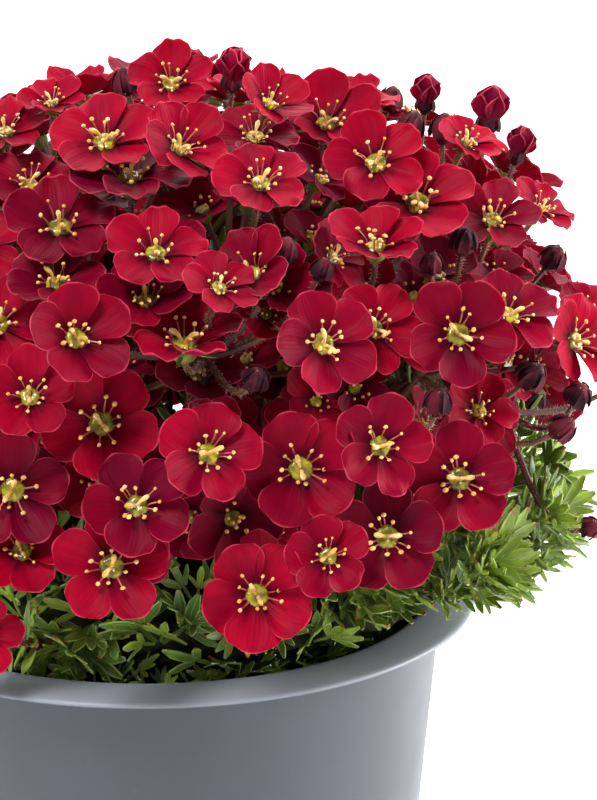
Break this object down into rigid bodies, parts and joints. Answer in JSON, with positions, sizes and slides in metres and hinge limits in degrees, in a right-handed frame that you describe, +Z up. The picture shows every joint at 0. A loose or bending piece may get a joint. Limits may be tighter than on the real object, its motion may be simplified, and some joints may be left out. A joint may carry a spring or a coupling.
{
  "type": "potted mossy saxifrage",
  "caption": "Domed flowering rock plant with crimson five-petalled blooms on branched stems over a cut-leaved cushion, standing in a round plastic nursery pot.",
  "frame": {"origin": "centre of the pot's flat base, on the surface that it stands on", "axes": "+Z up along the pot's axis; -Y towards the picture's camera; +X to the picture's right"},
  "size_m": [0.1635, 0.1521, 0.2107],
  "materials": {
    "pot_plastic": "satin blue-grey moulded polypropylene",
    "compost": "dark damp peat, crumbly and matt",
    "foliage": "living leaf, satin, bright green with paler tips",
    "petals": "living petal, velvety crimson, with red-brown hairy stems"
  },
  "bodies": {
    "root": {"compost": "compost", "cushion": "foliage", "pot": "pot_plastic", "spray_01": "petals", "spray_02": "petals", "spray_03": "petals", "spray_04": "petals", "spray_05": "petals", "spray_06": "petals", "spray_07": "petals", "spray_08": "petals", "spray_09": "petals", "spray_10": "petals", "spray_11": "petals", "spray_12": "petals", "spray_13": "petals", "spray_14": "petals", "spray_15": "petals", "spray_16": "petals", "spray_17": "petals", "spray_18": "petals", "spray_19": "petals", "spray_20": "petals", "spray_21": "petals", "spray_22": "petals", "spray_23": "petals", "spray_24": "petals", "spray_25": "petals", "spray_26": "petals", "spray_27": "petals", "spray_28": "petals", "spray_29": "petals", "spray_30": "petals", "spray_31": "petals", "spray_32": "petals", "spray_33": "petals", "spray_34": "petals", "spray_35": "petals", "spray_36": "petals", "spray_37": "petals"}
  },
  "joints": []
}
